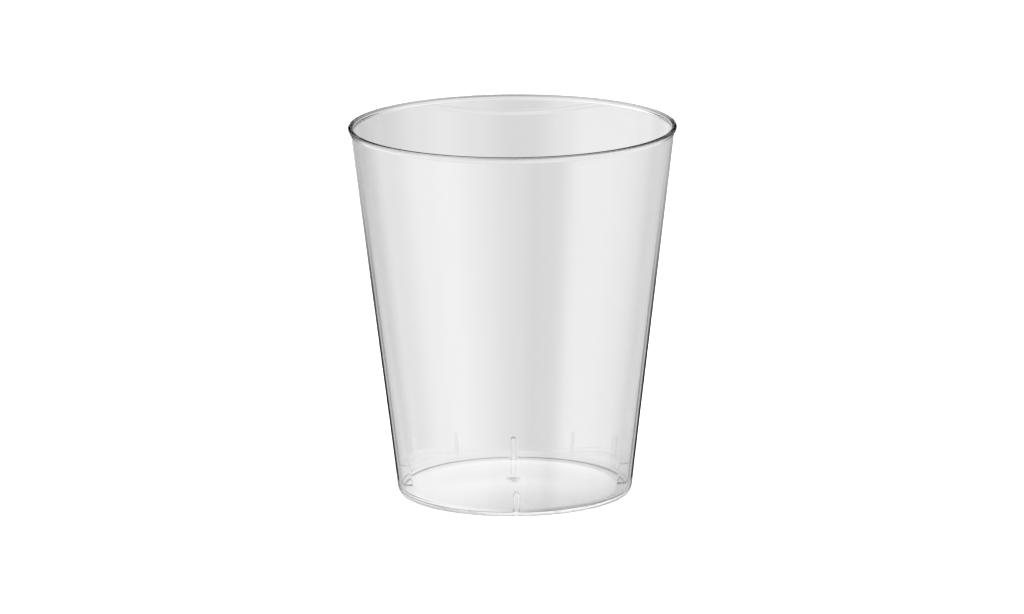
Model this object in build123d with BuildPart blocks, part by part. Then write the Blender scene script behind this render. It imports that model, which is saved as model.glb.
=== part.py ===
from build123d import *
import os
from math import sqrt

# A clear moulded shot glass: one cone-shaped shell with a beaded rim, a hollowed
# bottom and short ribs inside, which carry the next glass in a stack.
# Lengths are in millimetres. The origin is the centre of the foot, on the table.

# Overall form
height = 51.1            # table to the top of the rim
rim_radius = 22.5        # widest point, on the outside of the bead
foot_radius = 16.12      # outside slope of the wall, carried down to the table

# Side wall
wall = 0.4               # thickness, square to the slope
foot_round = 0.55        # outside corner between wall and bottom
corner_round = 0.8       # inside corner between wall and bottom

# Bead along the rim
bead_step = 0.23         # how far the bead stands out from the wall
bead_height = 0.95       # top of the rim to the foot of the bead's sloped underside
rim_edge_cut = 0.2       # takes off both edges of the rim's top

# Bottom
floor = 0.45             # thickness of the bottom plate
ring_width = 1.65        # flat ring that the glass stands on, without its rounded corner
hollow_rise = 0.8        # how far the underside, a shallow cone, rises to its centre

# Gate mark left by the mould, under the centre of the bottom
gate_radius = 0.7
gate_drop = 0.25         # how far it hangs below the hollowed underside

# Stacking ribs
rib_count = 4
rib_rise = 2.85          # top of the floor to the top of a rib
rib_depth = 1.6          # wall to the free edge, at the floor
rib_root_width = 0.75
rib_edge_width = 0.6
rib_top_round_share = 0.46     # long top corners, as a share of the free edge's width
rib_edge_chamfer_share = 0.2   # corners of the free edge, as a share of its width

# Slope of the wall, and its thickness measured level instead of square to the slope
mouth_radius = rim_radius - bead_step
lean = (mouth_radius - foot_radius) / height
slope_length = sqrt(1 + lean**2)
wall_level = wall * slope_length


def outside(z):
    """Radius of the wall's outer face at height z."""
    return foot_radius + lean * z


def inside(z):
    """Radius of the wall's inner face at height z."""
    return outside(z) - wall_level


ring_radius = foot_radius - foot_round - ring_width
bead_bottom = height - bead_height
rib_foot = floor / 2
rib_top = floor + rib_rise
rib_edge_radius = inside(floor) - rib_depth
rib_root_radius = inside(floor) + wall_level / 2

# One rib: a slightly tapered fin that leans outwards with the wall
with BuildPart() as rib:
    with BuildSketch(Plane.XY.offset(rib_foot)):
        with BuildLine():
            Polyline(
                (rib_edge_radius, -rib_edge_width / 2),
                (rib_root_radius, -rib_root_width / 2),
                (rib_root_radius, rib_root_width / 2),
                (rib_edge_radius, rib_edge_width / 2),
                close=True,
            )
        make_face()
    extrude(amount=(rib_top - rib_foot) * slope_length, dir=(lean, 0, 1))
    top_face = rib.faces().sort_by(Axis.Z)[-1]
    fillet(top_face.edges().sort_by(Axis.Y)[0::3], rib_top_round_share * rib_edge_width)
    free_face = rib.faces().sort_by(Axis.X)[0]
    chamfer(free_face.edges().sort_by(Axis.Z)[1:], rib_edge_chamfer_share * rib_edge_width)

# The glass: its section turned round the axis, with the gate mark and the ribs
with BuildPart() as shot_glass:
    with BuildSketch(Plane.XZ) as section:
        with BuildLine():
            Polyline(
                (0, hollow_rise),
                (ring_radius, 0),
                (foot_radius, 0),
                (outside(bead_bottom), bead_bottom),
                (rim_radius, bead_bottom + bead_step),
                (rim_radius, height),
                (inside(height), height),
                (inside(floor), floor),
                (ring_radius, floor),
                (0, hollow_rise + floor),
                close=True,
            )
        make_face()
        chamfer(section.vertices().group_by(Axis.Y)[-1], rim_edge_cut)
        fillet(section.vertices().sort_by_distance((foot_radius, 0))[0], foot_round)
        fillet(section.vertices().sort_by_distance((inside(floor), floor))[0], corner_round)
    revolve(axis=Axis.Z)
    with BuildSketch(Plane.XY.offset(hollow_rise - gate_drop)):
        Circle(gate_radius)
    extrude(amount=gate_drop + floor / 2)
    with PolarLocations(0, rib_count):
        add(rib.part)

shot_glass.part.label = "shot_glass"

os.makedirs("parts", exist_ok=True)
export_step(shot_glass.part, "parts/shot_glass.step")
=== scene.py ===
from math import cos, pi, radians, sin

import bpy
import numpy as np
from mathutils import Matrix, Vector


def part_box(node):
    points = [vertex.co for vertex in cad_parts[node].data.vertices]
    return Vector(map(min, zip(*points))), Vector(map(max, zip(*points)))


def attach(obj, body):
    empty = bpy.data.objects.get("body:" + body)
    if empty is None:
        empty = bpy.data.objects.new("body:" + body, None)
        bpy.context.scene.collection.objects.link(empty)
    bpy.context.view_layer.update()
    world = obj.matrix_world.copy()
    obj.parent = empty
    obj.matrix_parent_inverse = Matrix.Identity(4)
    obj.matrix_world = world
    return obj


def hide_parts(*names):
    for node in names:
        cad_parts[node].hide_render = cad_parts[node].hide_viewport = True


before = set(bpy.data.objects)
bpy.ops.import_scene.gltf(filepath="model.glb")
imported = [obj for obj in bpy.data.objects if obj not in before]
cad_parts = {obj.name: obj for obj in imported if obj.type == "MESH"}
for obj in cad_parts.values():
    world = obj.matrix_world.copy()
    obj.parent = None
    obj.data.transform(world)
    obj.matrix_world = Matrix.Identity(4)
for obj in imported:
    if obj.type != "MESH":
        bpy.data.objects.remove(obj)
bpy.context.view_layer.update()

mm = 0.001
cadLow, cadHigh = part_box("shot_glass")
rimRadius = (cadHigh[0] - cadLow[0]) / 2
glassHeight = cadHigh[2]

# the glass in metres, with the same sizes as the solid
glassShape = {
    "footRadius": 16.12 * mm,     # outer slope carried down to the table
    "wall": 0.4 * mm,             # square to the slope
    "floor": 0.45 * mm,
    "ringRadius": 13.92 * mm,     # inner edge of the flat ring it stands on
    "hollowRise": 0.8 * mm,
    "footRound": 0.55 * mm,
    "cornerRound": 0.8 * mm,
    "beadStep": 0.23 * mm,
    "beadFoot": 0.93 * mm,        # rim to where the bead starts to swell
    "beadTop": 0.32 * mm,         # rim to where the bead is at its widest
    "crownRound": 0.12 * mm,      # outer edge of the rim's top
    "crownRoundInside": 0.22 * mm,
    "gateRadius": 0.7 * mm,
    "gateDrop": 0.25 * mm,
    "gateRound": 0.08 * mm,       # lower edge of the gate mark
    "gateRootRound": 0.04 * mm,   # where it grows out of the bottom
}

ribShape = {
    "count": 4,
    "depth": 1.6 * mm,            # wall to free edge, at the floor
    "rise": 2.85 * mm,            # above the floor
    "halfWidth": 0.32 * mm,
    "edgeRound": 0.13 * mm,
    "noseRound": 0.15 * mm,       # upper corner of the free edge
    "topRound": 0.27 * mm,
    "topShare": 1 / 3,            # part of the height over which the edges grow rounder
    "flank": 0.05 * mm,           # width that the steep side takes up
    "rootFillet": 0.07 * mm,
    "rootFilletShare": 0.4,       # but never more than this share of the rib's reach
}

meshDetail = {
    "hold": 0.03 * mm,            # extra lines this close to a corner keep its shading narrow
    "domeRows": 14,
    "flatRows": 4,                # on the flat ring, above and below
    "besideRib": (8, 15, 12),     # floor, inside corner and wall: the same sum as overRib
    "overRib": (16, 7, 12),       # free edge, upper corner and top
    "wallRows": 16,
    "crownRows": 9,
    "beadRows": 12,
    "footRows": 11,
    "gateRows": (4, 5),           # root and lower edge
    "ribLines": 13,
    "flankLines": (0.04, 0.3, 0.7, 0.96),
    "filletLines": 5,
    "plainLines": 25,             # grid lines between a rib and halfway to the next
}

lean = (rimRadius - glassShape["beadStep"] - glassShape["footRadius"]) / glassHeight
wallLevel = glassShape["wall"] * (1 + lean**2) ** 0.5


def outside(z):
    return glassShape["footRadius"] + lean * z


def inside(z):
    return outside(z) - wallLevel


def straight(start, end, count):
    # evenly spaced points from start to end, and one more close to each end
    start, end = np.array(start), np.array(end)
    hold = meshDetail["hold"] / np.linalg.norm(end - start)
    share = np.sort(np.append(np.linspace(0, 1, count), [hold, 1 - hold]))[:, None]
    return start * (1 - share) + end * share


def roundCorner(corner, before, after, radius, count):
    # circle arc that touches both legs of the corner, at equal steps of its angle
    corner = np.array(corner)
    legA, legB = (np.array(p) - corner for p in (before, after))
    legA, legB = legA / np.linalg.norm(legA), legB / np.linalg.norm(legB)
    halfAngle = np.arccos(legA @ legB) / 2
    middle = (legA + legB) / np.linalg.norm(legA + legB)
    centre = corner + middle * radius / sin(halfAngle)
    touchA, touchB = (corner + leg * radius / np.tan(halfAngle) - centre for leg in (legA, legB))
    sweep = pi - 2 * halfAngle
    t = np.linspace(0, sweep, count)[:, None]
    return centre + (np.sin(sweep - t) * touchA + np.sin(t) * touchB) / sin(sweep)


def withHeight(r, z):
    return np.stack([r, z], axis=1)


def underside(r):
    # half a cosine wave, from the full rise at the centre to nothing at the ring
    return glassShape["hollowRise"] * (1 + np.cos(pi * r / glassShape["ringRadius"])) / 2


def ribRows():
    # Floor, inside corner and wall where a rib grows, and the outline of the rib itself
    # over as many rows: up its free edge, round its upper corner and along its top.
    g, rib = glassShape, ribShape
    wallFoot = (inside(g["floor"]), g["floor"])
    ribTop = g["floor"] + rib["rise"]
    wallTop = (inside(ribTop), ribTop)
    edgeFoot = (wallFoot[0] - rib["depth"], g["floor"])
    edgeTop = (edgeFoot[0] + lean * rib["rise"], ribTop)

    floorRows, cornerRows, wallRows = meshDetail["besideRib"]
    corner = roundCorner(wallFoot, (0, g["floor"]), wallTop, g["cornerRound"], cornerRows)
    base = np.concatenate([
        straight(edgeFoot, corner[0], floorRows)[:-1],
        corner,
        straight(corner[-1], wallTop, wallRows)[1:],
    ])
    edgeRows, noseRows, topRows = meshDetail["overRib"]
    nose = roundCorner(edgeTop, edgeFoot, wallTop, rib["noseRound"], noseRows)
    outline = np.concatenate([
        straight(edgeFoot, nose[0], edgeRows)[:-1],
        nose,
        straight(nose[-1], wallTop, topRows)[1:],
    ])
    return base, outline


def rimRows():
    # The two round edges of the rim's top, then the bead: the wall's radius plus half a
    # cosine wave that swells from nothing at the bead's foot to the rim's radius.
    g, rows = glassShape, meshDetail
    inner, outer = (inside(glassHeight), glassHeight), (rimRadius, glassHeight)
    wallFoot = (inside(g["floor"]), g["floor"])
    beadZ = np.linspace(glassHeight - g["beadTop"], glassHeight - g["beadFoot"], rows["beadRows"])
    swell = (1 + np.cos(np.linspace(0, pi, rows["beadRows"]))) / 2
    return np.concatenate([
        roundCorner(inner, wallFoot, outer, g["crownRoundInside"], rows["crownRows"]),
        roundCorner(outer, inner, (rimRadius, 0), g["crownRound"], rows["crownRows"]),
        withHeight(outside(beadZ) + swell * (rimRadius - outside(beadZ)), beadZ),
    ])


def hollowRows():
    # the underside from the ring inwards, then the gate mark with its two round edges
    g, rows = glassShape, meshDetail
    across = np.linspace(g["ringRadius"], g["gateRadius"] + g["gateRound"], rows["domeRows"])
    hollow = withHeight(across, underside(across))
    gateRoot = (g["gateRadius"], hollow[-1, 1])
    gateFoot = (g["gateRadius"], g["hollowRise"] - g["gateDrop"])
    rootRows, footRows = rows["gateRows"]
    return np.concatenate([
        hollow[:-1],
        roundCorner(gateRoot, hollow[-2], (g["gateRadius"], 0), g["gateRootRound"], rootRows),
        roundCorner(gateFoot, gateRoot, (0, gateFoot[1]), g["gateRound"], footRows),
        [(g["gateRadius"] / 2, gateFoot[1])],
    ])


def glassSection():
    # The section as (radius, height) rows: up over the floor and the inner wall, round
    # the rim, down the outer wall and back along the underside to the gate mark. The
    # rows where the ribs grow come with the outline of a rib, and the poles close it.
    g, rows = glassShape, meshDetail
    base, outline = ribRows()
    across = np.linspace(0, g["ringRadius"], rows["domeRows"])[1:]
    dome = withHeight(across, g["floor"] + underside(across))
    rim, hollow = rimRows(), hollowRows()
    footPoint, outerTop = (g["footRadius"], 0), (outside(glassHeight), glassHeight)
    foot = roundCorner(footPoint, outerTop, (0, 0), g["footRound"], rows["footRows"])
    before = np.concatenate([dome, straight(dome[-1], base[0], rows["flatRows"])[1:-1]])
    after = np.concatenate([
        straight(base[-1], rim[0], rows["wallRows"])[1:-1],
        rim,
        straight(rim[-1], foot[0], rows["wallRows"])[1:-1],
        foot,
        straight(foot[-1], hollow[0], rows["flatRows"])[1:-1],
        hollow,
    ])
    poles = (g["floor"] + g["hollowRise"], hollow[-1, 1])
    return before, base, outline, after, poles


def turnLines():
    # Angles of the grid lines, and where each one stands: across the rib from -1 to 1 (2
    # is beside it), on the small fillet from 1 at the flank to 0, and down the flank from
    # 1 at the rib to 0 at the fillet. One rib's lines are repeated for each rib.
    rib, detail = ribShape, meshDetail
    middle = inside(glassShape["floor"]) - rib["depth"] / 2
    sizes = (rib["halfWidth"], rib["flank"], rib["rootFillet"])
    halfTurn, flankTurn, filletTurn = (size / middle for size in sizes)
    across = np.sin(np.linspace(-pi / 2, pi / 2, detail["ribLines"]))
    down = np.array(detail["flankLines"])
    t = np.linspace(0, 1, detail["filletLines"])
    flankAngle, filletAngle = halfTurn + flankTurn * down, halfTurn + flankTurn + filletTurn * t
    plainAngle = np.linspace(filletAngle[-1], pi / rib["count"], detail["plainLines"])[1:]
    none = np.zeros(len(plainAngle))

    def allRound(onLeft, onRib, *parts):
        # one side's parts on both sides of the rib, with one line halfway to the next rib
        right = np.concatenate(parts)
        return np.tile(np.concatenate([onLeft * right[-2::-1], onRib, right]), rib["count"])

    angle = allRound(-1, across * halfTurn, flankAngle, filletAngle, plainAngle)
    place = allRound(-1, across, down * 0 + 1, t * 0 + 2, none + 2)
    fillet = allRound(1, across * 0, down * 0 + 1, (1 - t) ** 2, none)
    ribShare = allRound(1, across * 0 + 1, 1 - down, t * 0, none)
    turns = 2 * pi / rib["count"] * np.arange(rib["count"])
    return angle + np.repeat(turns, len(angle) // rib["count"]), place, fillet, ribShare


def glassGrid():
    # Radius and height over (row of the section, turn). Beside the ribs they are the
    # section's own. Across a rib they move over to the rib's outline, which is drawn in
    # by a quarter circle towards its two sides, so that its edges are round.
    before, base, outline, after, poles = glassSection()
    angle, place, fillet, ribShare = turnLines()
    rib = ribShape
    fromTop = 1 - (outline[:, 1] - outline[:, 1].min()) / rib["rise"]
    onTop = np.clip(1 - fromTop / rib["topShare"], 0, 1)
    slide = np.clip(np.linspace(-1, 1, len(base)), 0, 1)
    inward = withHeight(np.cos(onTop * pi / 2) - lean * slide * onTop, -np.sin(onTop * pi / 2))
    edgeRadius = (rib["edgeRound"] + (rib["topRound"] - rib["edgeRound"]) * onTop)[:, None]
    fromMiddle = np.abs(place) * rib["halfWidth"]
    past = np.clip(fromMiddle - (rib["halfWidth"] - edgeRadius), 0, edgeRadius)
    drawnIn = edgeRadius - np.sqrt(edgeRadius**2 - past**2)
    reach = outline - base
    distance = np.linalg.norm(reach, axis=1)[:, None]
    deepest = np.minimum(rib["rootFillet"], rib["rootFilletShare"] * distance)
    onFillet = deepest * fillet / np.maximum(distance, 1e-9)
    grid = []
    for k in (0, 1):
        ribSide = outline[:, k, None] + drawnIn * inward[:, k, None]
        filletSide = base[:, k, None] + reach[:, k, None] * onFillet
        middle = ribShare * ribSide + (1 - ribShare) * filletSide
        ends = [np.repeat(rows[:, k, None], len(angle), axis=1) for rows in (before, after)]
        grid.append(np.concatenate([ends[0], middle, ends[1]]))
    return grid[0], grid[1], angle, poles


def closedSurface(name, radius, height, angle, poles):
    # Points (radius cos turn, radius sin turn, height), with four-sided faces between
    # the rows and a fan of triangles round the pole at each end.
    rows, turns = radius.shape
    points = np.stack([radius * np.cos(angle), radius * np.sin(angle), height], axis=2)
    points = np.concatenate([points.reshape(-1, 3), [[0, 0, z] for z in poles]])
    here = np.arange(turns)
    after = (here + 1) % turns
    row = np.arange(rows - 1)[:, None] * turns
    quads = np.stack([row + here, row + turns + here, row + turns + after, row + after], axis=2)
    pole, lastRow = rows * turns, (rows - 1) * turns
    first = np.stack([here * 0 + pole, here, after], axis=1)
    last = np.stack([here * 0 + pole + 1, lastRow + after, lastRow + here], axis=1)
    corners = np.concatenate([quads.ravel(), first.ravel(), last.ravel()])
    sizes = np.concatenate([np.full((rows - 1) * turns, 4), np.full(2 * turns, 3)])
    mesh = bpy.data.meshes.new(name)
    mesh.vertices.add(len(points))
    mesh.vertices.foreach_set("co", points.ravel())
    mesh.loops.add(len(corners))
    mesh.loops.foreach_set("vertex_index", corners.astype(np.int32))
    mesh.polygons.add(len(sizes))
    mesh.polygons.foreach_set("loop_start", (np.cumsum(sizes) - sizes).astype(np.int32))
    mesh.polygons.foreach_set("use_smooth", np.ones(len(sizes), dtype=bool))
    mesh.update(calc_edges=True)
    mesh.validate()
    piece = bpy.data.objects.new(name, mesh)
    bpy.context.scene.collection.objects.link(piece)
    return piece


def newNode(tree, kind, inputs, **settings):
    # a shader node with its settings, and a value or a link for each input
    node = tree.nodes.new("ShaderNode" + kind)
    for name, value in settings.items():
        setattr(node, name, value)
    for name, value in inputs.items():
        if isinstance(value, bpy.types.NodeSocket):
            tree.links.new(value, node.inputs[name])
        else:
            node.inputs[name].default_value = value
    return node


def maths(tree, operation, *values):
    return newNode(tree, "Math", dict(enumerate(values)), operation=operation).outputs["Value"]


def mapped(tree, source, start, end, low=0, high=1, kind="LINEAR"):
    # from low to high while the source goes from start to end
    inputs = {"Value": source, "From Min": start, "From Max": end, "To Min": low, "To Max": high}
    return newNode(tree, "MapRange", inputs, interpolation_type=kind).outputs["Result"]


def mixed(tree, share, first, second):
    return newNode(tree, "Mix", {"Factor": share, "A": first, "B": second}).outputs["Result"]


def ramp(tree, source, low, high, stops, kind="LINEAR"):
    # the value between (place, value) stops, whose places lie on a line from low to high
    node = newNode(tree, "ValToRGB", {"Fac": mapped(tree, source, low, high)})
    node.color_ramp.interpolation = kind
    elements = node.color_ramp.elements
    for stop in stops[2:]:
        elements.new(0.5)
    for element, (place, value) in zip(elements, stops):
        element.position = (place - low) / (high - low)
        element.color = (value, value, value, 1)
    return node.outputs["Color"]


def frontAndBack(tree, x, y, half, front, back):
    # a value from two rows of (millimetres across, value) stops, one at the front and one
    # at the back of a square with this half side
    rows = []
    for stops in (front, back):
        rows.append(ramp(tree, x, -half, half, [(across * mm, value) for across, value in stops]))
    return mixed(tree, mapped(tree, y, -half, half), *rows)


def newMaterial(name, inputs):
    material = bpy.data.materials.new(name)
    material.use_nodes = True
    shader = material.node_tree.nodes["Principled BSDF"]
    for socket, value in inputs.items():
        shader.inputs[socket].default_value = value
    return material, material.node_tree, shader


def placeInObject(tree):
    # the point in the object's own coordinates, whole and as x, y and z
    place = newNode(tree, "TexCoord", {}).outputs["Object"]
    return place, newNode(tree, "SeparateXYZ", {"Vector": place}).outputs


plasticLook = {
    "bendOfLight": 1.59,          # clear polystyrene
    "middleTint": (0.988, 0.988, 0.988, 1),
    # near black colour of the painted shade on the edges, along the rim and round the gate mark
    "edgeShadeColour": (0.004, 0.004, 0.005, 1),
    "grazing": (0.81, 0.84),      # towards a grazing view the painted edge shade begins and is full here
    "edgeShadeByHeight": [             # share of the painted edge shade, by millimetres above the table
        (0, 0), (1.35, 0), (2, 1), (16, 1), (30, 0.95), (38, 0.5), (44, 0.15), (51.1, 0.1),
    ],
    "rimShadeFoot": (50.87 * mm, 50.92 * mm),   # painted shade on the rounded edges of the rim starts here
    "rimShadeTop": (51.075 * mm, 51.095 * mm),  # up to here
    # share of the painted rim shade, by millimetres across, at the front and at the back
    "rimShadeFront": [
        (-22.5, 1), (-19, 0.8), (-14, 0.5), (-7, 0.5), (0, 0.75), (12, 0.9), (18, 1),
    ],
    "rimShadeBack": [
        (-22.5, 1), (-14, 0.6), (-4, 0.75), (4, 0.7), (10, 0.4), (18, 0.4), (22.5, 1),
    ],
    "gateShadeStrength": 0.5,             # how strong the painted shade round the gate mark is
    "gateShadeCentre": (-0.3 * mm, 0.25 * mm, 0),
    "gateShadeRadii": (0.3 * mm, 1.35 * mm),
    "sheenOfMould": 0.012,        # roughness at the dullest spots of the uneven polish
    "sheenScale": 240.0,
    "sheenDetail": 3.0,
}


def clearPlasticMaterial():
    look = plasticLook
    base = {"Transmission Weight": 1.0, "IOR": look["bendOfLight"]}
    material, tree, shader = newMaterial("clearPlastic", base)
    place, (x, y, z) = placeInObject(tree)

    # painted edge shade: darker where the surface is seen edge-on, and more so on the lower wall
    facing = newNode(tree, "LayerWeight", {}).outputs["Facing"]
    grazing = mapped(tree, facing, *look["grazing"], kind="SMOOTHSTEP")
    edgeStops = [(height * mm, share) for height, share in look["edgeShadeByHeight"]]
    edge = maths(tree, "MULTIPLY", grazing, ramp(tree, z, 0, glassHeight, edgeStops))

    # painted shade along the rounded edges of the rim
    rimSide = frontAndBack(tree, x, y, rimRadius, look["rimShadeFront"], look["rimShadeBack"])
    rimFoot = mapped(tree, z, *look["rimShadeFoot"])
    rimTop = mapped(tree, z, *look["rimShadeTop"], 1, 0)
    paintedRimShade = maths(tree, "MULTIPLY", maths(tree, "MULTIPLY", rimFoot, rimTop), rimSide)

    # painted shade round the gate mark, by the distance from its axis
    flat = newNode(tree, "VectorMath", {0: place, 1: (1, 1, 0)}, operation="MULTIPLY")
    ends = {0: flat.outputs["Vector"], 1: look["gateShadeCentre"]}
    away = newNode(tree, "VectorMath", ends, operation="DISTANCE").outputs["Value"]
    paintedGateShade = mapped(tree, away, *look["gateShadeRadii"], look["gateShadeStrength"], 0, "SMOOTHSTEP")

    # all three are painted shade, which darkens the plastic's own tint towards that near black
    # colour
    darker = maths(tree, "MAXIMUM", maths(tree, "MAXIMUM", edge, paintedRimShade), paintedGateShade)
    tintAndShadeMix = {"Factor": darker, "A": look["middleTint"], "B": look["edgeShadeColour"]}
    tintAndShade = newNode(tree, "Mix", tintAndShadeMix, data_type="RGBA")
    tree.links.new(tintAndShade.outputs["Result"], shader.inputs["Base Color"])

    # faint uneven polish of the mould
    noise = {"Vector": place, "Scale": look["sheenScale"], "Detail": look["sheenDetail"]}
    haze = newNode(tree, "TexNoise", noise).outputs["Fac"]
    roughness = mapped(tree, haze, 0, 1, 0, look["sheenOfMould"])
    tree.links.new(roughness, shader.inputs["Roughness"])
    return material


def makeGlass():
    piece = closedSurface("clear_glass_shell", *glassGrid())
    piece.data.materials.append(clearPlasticMaterial())
    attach(piece, "root")
    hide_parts("shot_glass")
    print("glass:", len(piece.data.polygons), "faces")


floorLook = {"halfSize": 3.0, "colour": (0.86, 0.86, 0.86, 1), "roughness": 0.9}


def stagePiece(name, corners, faces, material):
    mesh = bpy.data.meshes.new(name)
    mesh.from_pydata(corners, [], faces)
    mesh.materials.append(material)
    piece = bpy.data.objects.new(name, mesh)
    bpy.context.scene.collection.objects.link(piece)
    return piece


def makeFloor():
    # the plastic doesn't see this floor, but the lit table and the room
    half = floorLook["halfSize"]
    matt = {
        "Base Color": floorLook["colour"],
        "Roughness": floorLook["roughness"],
        "Specular IOR Level": 0.0,
    }
    material = newMaterial("paleFloor", matt)[0]
    corners = [(-half, -half, 0), (half, -half, 0), (half, half, 0), (-half, half, 0)]
    floor = stagePiece("studio_floor", corners, [(0, 1, 2, 3)], material)
    floor.visible_glossy = floor.visible_transmission = False


# Brightness of the table from left to right, as (millimetres across, brightness) at the
# front and at the back: under the hollow, and in the narrow shade of the foot's ring.
tableLook = {
    "below": 0.02 * mm,
    "sides": 96,
    "hollow": {
        "radius": 14 * mm,
        "front": [(-14, 0.69), (-7, 0.6), (-1, 0.46), (4, 0.52), (8, 0.36), (14, 0.32)],
        "back": [(-14, 0.85), (-6, 1.0), (14, 1.15)],
    },
    "ring": {
        "radius": 16.4 * mm,
        "front": [(-16.4, 0.95), (-8, 0.95), (-3, 0.75), (0, 0.6), (4, 0.45), (16.4, 0.3)],
        "back": [(-16.4, 0.75), (16.4, 0.7)],
    },
}


def tableGlow(name, look):
    # emission between the two rows of stops, over the square round the piece
    glowing = {
        "Base Color": (0, 0, 0, 1),
        "Specular IOR Level": 0.0,
        "Emission Color": (1, 1, 1, 1),
    }
    material, tree, shader = newMaterial(name, glowing)
    x, y = placeInObject(tree)[1][:2]
    # painted light and shade of the table under the glass: it glows though it is no lamp, and is
    # darker in the foot's shade
    glow = frontAndBack(tree, x, y, look["radius"], look["front"], look["back"])
    tree.links.new(glow, shader.inputs["Emission Strength"])
    return material


def makeTableUnderGlass():
    # The lit table as the bottom of the glass shows it: a disc and a ring round it, which
    # only the plastic sees. Points (radius cos turn, radius sin turn) on two circles.
    count = tableLook["sides"]
    turn = np.linspace(0, 2 * pi, count, endpoint=False)
    circle = np.stack([np.cos(turn), np.sin(turn), turn * 0], axis=1)
    inner, outer = (circle * tableLook[part]["radius"] for part in ("hollow", "ring"))
    here = np.arange(count)
    after = (here + 1) % count
    sides = np.stack([here, here + count, after + count, after], axis=1)
    shapes = {"hollow": (inner, here[None]), "ring": (np.concatenate([inner, outer]), sides)}
    for part, (corners, faces) in shapes.items():
        corners = corners - [0, 0, tableLook["below"]]
        material = tableGlow("litTable" + part.capitalize(), tableLook[part])
        piece = stagePiece("lit_table_" + part, corners.tolist(), faces.tolist(), material)
        piece.visible_camera = piece.visible_diffuse = piece.visible_shadow = False


lightPlan = {
    "left_softbox": {
        "turn": -60, "away": 0.60, "height": 0.30, "size": (0.34, 0.42), "power": 3.0,
    },
    "right_softbox": {
        "turn": 60, "away": 0.60, "height": 0.30, "size": (0.34, 0.42), "power": 3.0,
    },
    "top_softbox": {
        "turn": 0, "away": 0.001, "height": 1.2, "size": (1.2, 1.2), "power": 22.0,
    },
}


def makeLamps():
    # they light the floor only: what the plastic mirrors and lets through is the room's light
    target = Vector((0, 0, glassHeight / 2))
    for name, plan in lightPlan.items():
        lamp = bpy.data.lights.new(name, "AREA")
        lamp.shape = "RECTANGLE"
        lamp.size, lamp.size_y = plan["size"]
        lamp.energy = plan["power"]
        holder = bpy.data.objects.new(name, lamp)
        turn = radians(plan["turn"])
        holder.location = (sin(turn) * plan["away"], -cos(turn) * plan["away"], plan["height"])
        holder.rotation_euler = (target - holder.location).to_track_quat("-Z", "Y").to_euler()
        holder.visible_camera = holder.visible_glossy = holder.visible_transmission = False
        bpy.context.scene.collection.objects.link(holder)


# The room that the plastic mirrors and lets through, as (place, brightness) stops. A height
# is the sine of the direction's elevation, and a turn is counted in degrees from the front.
roomLook = {
    "throughByHeight": [(-1.0, 0.77), (0.12, 0.77), (0.3, 0.85), (1.0, 1.0)],
    "throughAbove": [(-180, 1.0), (-150, 1.4), (-25, 1.4), (10, 0.8), (120, 0.8), (180, 1.0)],
    "throughAboveShare": [(0.2, 0), (0.35, 1)],
    "mirroredByHeight": [
        (-1.0, 0.75), (-0.33, 0.8), (-0.29, 0.04), (0.1, 0.04), (0.2, 0.85), (0.65, 0.9),
    ],
    "mirroredBehind": [
        (-162, 0), (-157, 0.2), (-146, 0.2), (-138, 0), (138, 0), (146, 0.2), (157, 0.2), (162, 0),
    ],
    "edgeLineTurns": (160.38, 162),        # straight behind starts between these two turns
    "edgeLineHeights": (-0.245, -0.22),    # and grows brighter from the first to the second
    "edgeLineTop": (-0.17, -0.14),         # it is dark from here on
    "edgeLineLeft": (0.0, 0.7),
    "edgeLineRight": (0.0, 0.25),
    "lowBoxes": [
        (-150, 0.55), (-130, 0.72), (-106, 1.37), (-77, 1.64), (-35, 1.58), (-18, 1.34), (0, 1.2),
        (19, 0.58), (31, 0.13), (49, 0.94), (68, 1.0), (95, 0.73), (115, 0.41), (150, 0.45),
    ],
    "highBoxes": [
        (-155, 0.7), (-138, 0.55), (-115, 1.2), (-97, 1.6), (-57, 1.7), (-38, 1.0), (-16, 0.0),
        (0, 0.0), (26, 0.74), (52, 1.3), (72, 0.9), (107, 0.0), (135, 0.05), (155, 0.35),
    ],
    "lowShareByHeight": [(-0.62, 0), (-0.52, 1), (-0.3, 1), (-0.265, 0)],
    "highShareByHeight": [(-0.175, 0), (-0.14, 1), (0.08, 1), (0.2, 0)],
    "boxShareByTurn": [(-160, 0), (-148, 1), (148, 1), (160, 0)],
}


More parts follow.
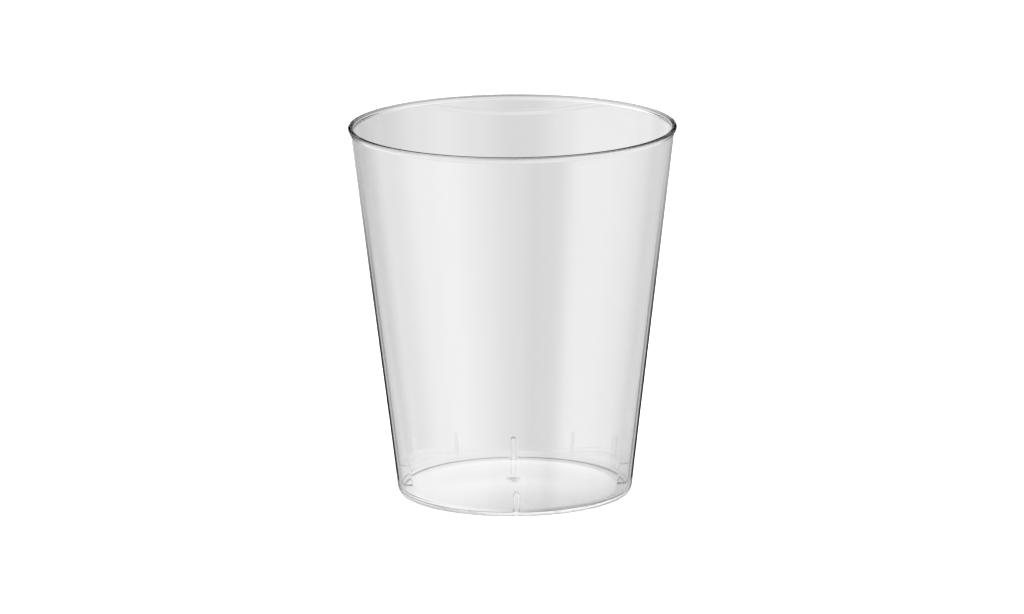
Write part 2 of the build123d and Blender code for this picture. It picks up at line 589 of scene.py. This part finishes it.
def makeRoom():
    look = roomLook
    world = bpy.data.worlds.new("studio_room")
    bpy.context.scene.world = world
    world.use_nodes = True
    tree = world.node_tree
    direction = newNode(tree, "TexCoord", {}).outputs["Generated"]
    x, y, z = newNode(tree, "SeparateXYZ", {"Vector": direction}).outputs
    turn = maths(tree, "DEGREES", maths(tree, "ARCTAN2", x, maths(tree, "MULTIPLY", y, -1)))
    path = newNode(tree, "LightPath", {}).outputs

    def byTurn(stops):
        return ramp(tree, turn, -180, 180, look[stops], "EASE")

    def byHeight(stops):
        return ramp(tree, z, -1, 1, look[stops], "EASE")

    # what the plastic mirrors, with a line of light straight behind on either side
    mirrored = maths(tree, "MAXIMUM", byHeight("mirroredByHeight"), byTurn("mirroredBehind"))
    under = mapped(tree, z, *look["edgeLineTop"], 1, 0)
    for side, line in ((-1, look["edgeLineLeft"]), (1, look["edgeLineRight"])):
        bright = maths(tree, "MULTIPLY", mapped(tree, z, *look["edgeLineHeights"], *line), under)
        near = mapped(tree, turn, *(side * place for place in look["edgeLineTurns"]))
        mirrored = mixed(tree, near, mirrored, bright)

    # what it lets through
    share = byHeight("throughAboveShare")
    through = mixed(tree, share, byHeight("throughByHeight"), byTurn("throughAbove"))
    whole = mixed(tree, path["Is Transmission Ray"], mirrored, through)

    # and two bands of soft boxes, which light that came straight through doesn't see
    hasMirrored = maths(tree, "GREATER_THAN", path["Glossy Depth"], 0.5)
    boxShare = maths(tree, "MULTIPLY", hasMirrored, byTurn("boxShareByTurn"))
    for level in ("low", "high"):
        share = maths(tree, "MULTIPLY", boxShare, byHeight(level + "ShareByHeight"))
        whole = mixed(tree, share, whole, byTurn(level + "Boxes"))
    background = tree.nodes["Background"].inputs
    background["Color"].default_value = (1, 1, 1, 1)
    tree.links.new(whole, background["Strength"])


cameraPlan = {
    "elevation": radians(12.894),
    "turn": radians(-0.7),        # the photo looks a little from the left
    "distance": 0.8508,
    "aimSide": -0.235 * mm,
    "aimHeight": 25.58 * mm,
    "roll": radians(0.413),
    "lens": 217.2,                # millimetres, as is the sensor's width
    "sensor": 36,
    "nearest": 0.05,
    "farthest": 20,
}


def makeCamera():
    plan = cameraPlan
    turn, elevation = plan["turn"], plan["elevation"]
    back = Vector((sin(turn) * cos(elevation), -cos(turn) * cos(elevation), sin(elevation)))
    right = Vector((cos(turn), sin(turn), 0))
    up = back.cross(right)
    rolledRight = right * cos(plan["roll"]) - up * sin(plan["roll"])
    rolledUp = right * sin(plan["roll"]) + up * cos(plan["roll"])
    aim = right * plan["aimSide"] + Vector((0, 0, plan["aimHeight"]))
    camera = bpy.data.cameras.new("photo_camera")
    camera.lens, camera.sensor_width, camera.sensor_fit = plan["lens"], plan["sensor"], "HORIZONTAL"
    camera.clip_start, camera.clip_end = plan["nearest"], plan["farthest"]
    holder = bpy.data.objects.new("photo_camera", camera)
    turned = Matrix((rolledRight, rolledUp, back)).transposed().to_4x4()
    holder.matrix_world = Matrix.Translation(aim + back * plan["distance"]) @ turned
    bpy.context.scene.collection.objects.link(holder)
    bpy.context.scene.camera = holder


lightBounces = 40                 # light runs far inside the thin bottom before it leaves the foot


def setLightPaths():
    scene = bpy.context.scene
    scene.view_settings.view_transform = "Standard"
    scene.cycles.max_bounces = lightBounces
    scene.cycles.glossy_bounces = lightBounces
    scene.cycles.transmission_bounces = lightBounces


makeGlass()
makeFloor()
makeTableUnderGlass()
print("stage: floor and lit table are in place")
makeLamps()
makeRoom()
makeCamera()
setLightPaths()
print("studio: lamps, room and camera are in place")
